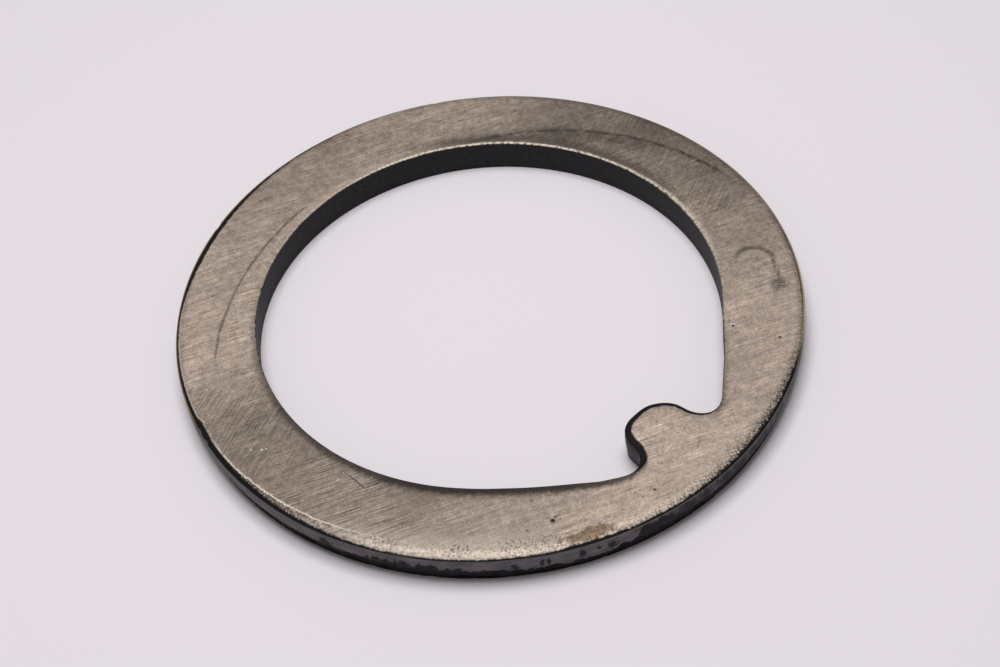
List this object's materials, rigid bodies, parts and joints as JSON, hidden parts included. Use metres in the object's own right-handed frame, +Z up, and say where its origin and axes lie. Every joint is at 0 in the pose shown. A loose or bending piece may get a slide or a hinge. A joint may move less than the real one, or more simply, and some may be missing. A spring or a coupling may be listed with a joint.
{
  "type": "key washer",
  "caption": "Flat steel ring with a round-nosed key standing in from its bore, which runs in the slot of an axle so that the ring can't turn.",
  "frame": {"origin": "middle of the base, in the plane that the washer lies on", "axes": "+Z up, square to the two faces; +X from the middle of the bore to the middle of the key"},
  "size_m": [0.0603, 0.0602, 0.0036],
  "materials": {
    "washer_steel": "used: ground face with wear arcs and pits, dark oxide on the rolled edges, satin sheared rim over a torn black band"
  },
  "bodies": {
    "root": {"key_washer": "washer_steel"}
  },
  "joints": []
}
